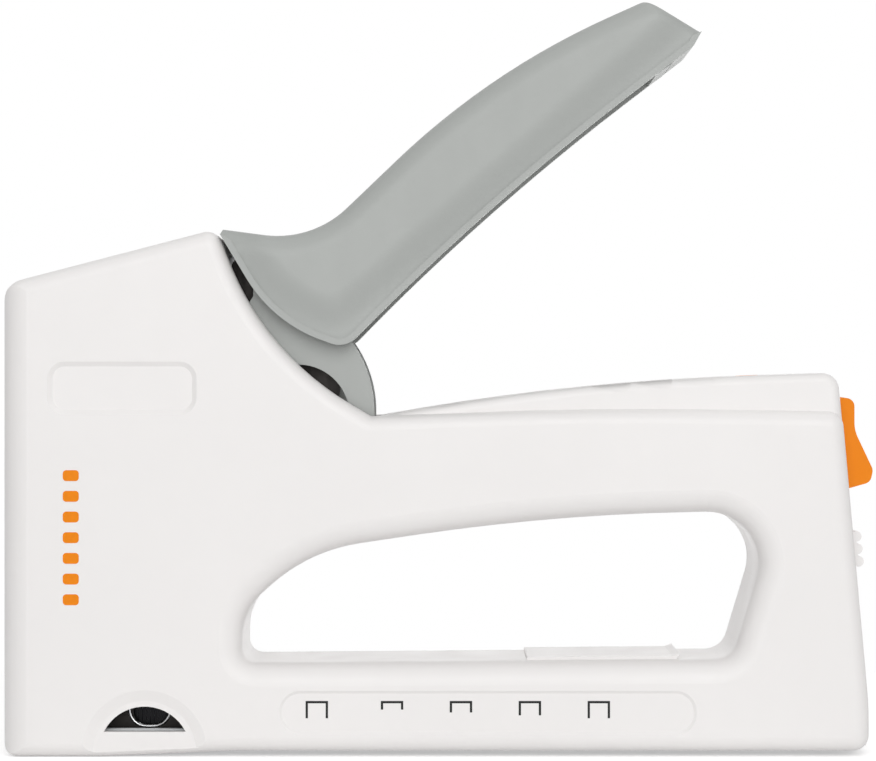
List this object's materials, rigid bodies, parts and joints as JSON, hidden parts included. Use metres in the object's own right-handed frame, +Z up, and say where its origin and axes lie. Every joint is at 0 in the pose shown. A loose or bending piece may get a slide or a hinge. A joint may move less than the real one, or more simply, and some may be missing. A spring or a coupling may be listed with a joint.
{
  "type": "staple gun",
  "caption": "Hand staple gun with a white two-shell body, finger opening, grey squeeze lever, orange handle lock and pull-out magazine",
  "frame": {"origin": "staple exit: middle of the driver blade on the plane of the nose pad's underside", "axes": "+X from the nose to the heel, +Z up from the work surface, -Y toward the near side of the picture"},
  "size_m": [0.153, 0.0272, 0.1323],
  "materials": {
    "white_plastic": "satin moulded, fine grain",
    "grey_plastic": "satin moulded, fine grain",
    "orange_plastic": "satin moulded",
    "bright_steel": "zinc plated sheet",
    "dark_steel": "hardened, oiled",
    "wire": "drawn spring wire",
    "rubber": "matt black"
  },
  "bodies": {
    "housing": {"left_shell": "white_plastic", "right_shell": "white_plastic", "housing_screws": "bright_steel", "lever_pivot_pin": "bright_steel", "lever_return_spring": "wire", "main_spring": "wire", "spring_seat": "bright_steel", "ram_bumper": "rubber", "nose_plate": "bright_steel", "magazine_channel": "bright_steel", "staple_strip": "bright_steel", "latch_pin": "bright_steel"},
    "lever": {"lever": "grey_plastic", "lifter_arm": "dark_steel", "lifter_pins": "bright_steel"},
    "striker": {"ram": "dark_steel", "driver_blade": "dark_steel", "ram_rivets": "bright_steel"},
    "magazine": {"staple_rail": "bright_steel", "magazine_end_cap": "white_plastic", "pusher_rod": "bright_steel", "pusher_spring": "wire"},
    "pusher": {"pusher": "dark_steel"},
    "latch": {"lock_latch": "orange_plastic"}
  },
  "joints": [
    {"name": "lever_press", "type": "hinge", "parent": "housing", "child": "lever", "pos_m": [0.0373, 0, 0.0602], "axis": [0, 1, 0], "range_deg": [0, 35.5], "stiffness_Nm_per_rad": 0.45, "springref_deg": -17.19, "deforming": ["lever_return_spring"]},
    {"name": "striker_lift", "type": "slide", "parent": "housing", "child": "striker", "axis": [0, 0, 1], "range_m": [0, 0.017], "deforming": ["main_spring"]},
    {"name": "magazine_pull", "type": "slide", "parent": "housing", "child": "magazine", "axis": [1, 0, 0], "range_m": [0, 0.1]},
    {"name": "pusher_feed", "type": "slide", "parent": "magazine", "child": "pusher", "axis": [1, 0, 0], "range_m": [0, 0.05], "stiffness_N_per_m": 60, "springref_m": -0.03, "deforming": ["pusher_spring"]},
    {"name": "latch_rock", "type": "hinge", "parent": "housing", "child": "latch", "pos_m": [0.1375, 0, 0.0595], "axis": [0, 1, 0], "range_deg": [0, 22]}
  ],
  "couplings": [
    {"joint": "striker_lift", "follows": "lever_press", "m_per_rad": 0.02724}
  ]
}
